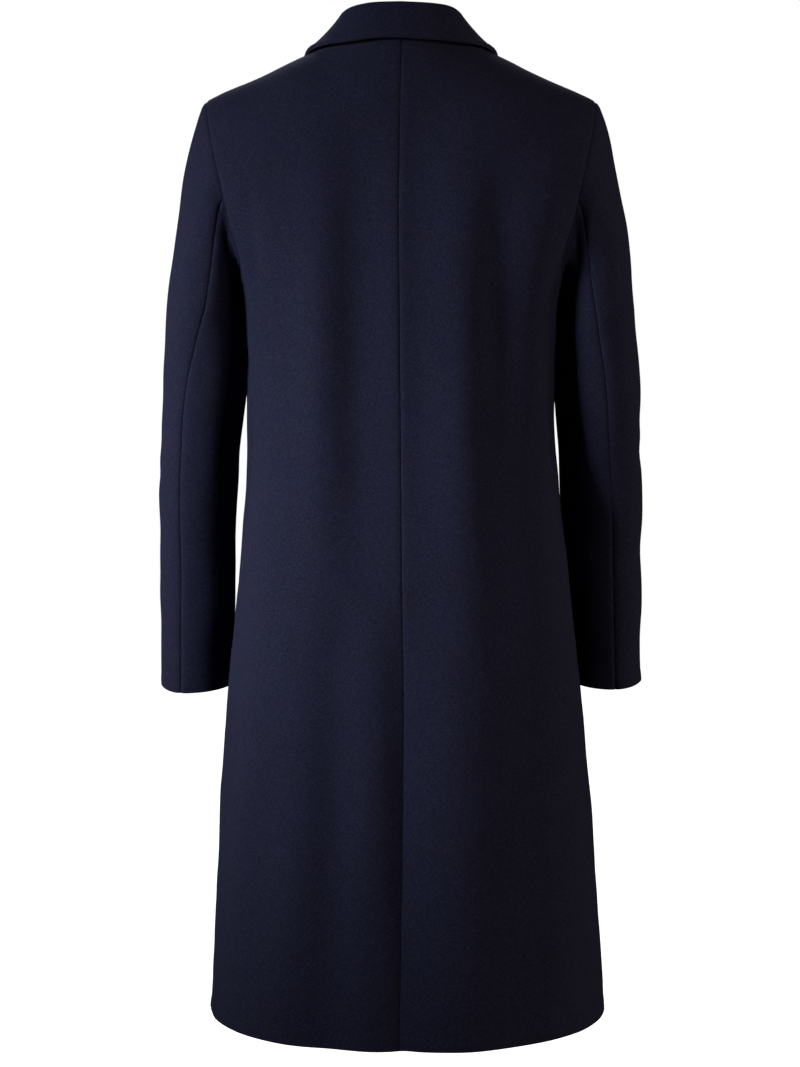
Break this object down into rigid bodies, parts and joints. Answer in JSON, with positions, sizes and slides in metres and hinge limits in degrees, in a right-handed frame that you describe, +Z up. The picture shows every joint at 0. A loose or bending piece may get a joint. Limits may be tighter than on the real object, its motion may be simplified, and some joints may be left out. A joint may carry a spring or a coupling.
{
  "type": "wool overcoat",
  "caption": "Knee-length single-breasted overcoat in navy double-faced wool, worn form with no wearer: open neck, cuffs and hem, notch lapels, centre-back seam.",
  "frame": {"origin": "on the centre line, level with where the neck seam meets the shoulder seams, in the shoulder seams' plane", "axes": "+Z up, +X towards the wearer's left, the front faces -Y"},
  "size_m": [0.517, 0.3474, 1.0658],
  "materials": {
    "wool": "matt, softly napped double-faced wool",
    "buttons": "satin resin"
  },
  "bodies": {
    "root": {"back_left": "wool", "back_right": "wool", "front_left": "wool", "front_right": "wool", "sleeve_left_under": "wool", "sleeve_left_top": "wool", "sleeve_right_under": "wool", "sleeve_right_top": "wool", "lapel_left": "wool", "lapel_right": "wool", "collar": "wool", "button_1": "buttons", "button_2": "buttons", "button_3": "buttons"}
  },
  "joints": []
}
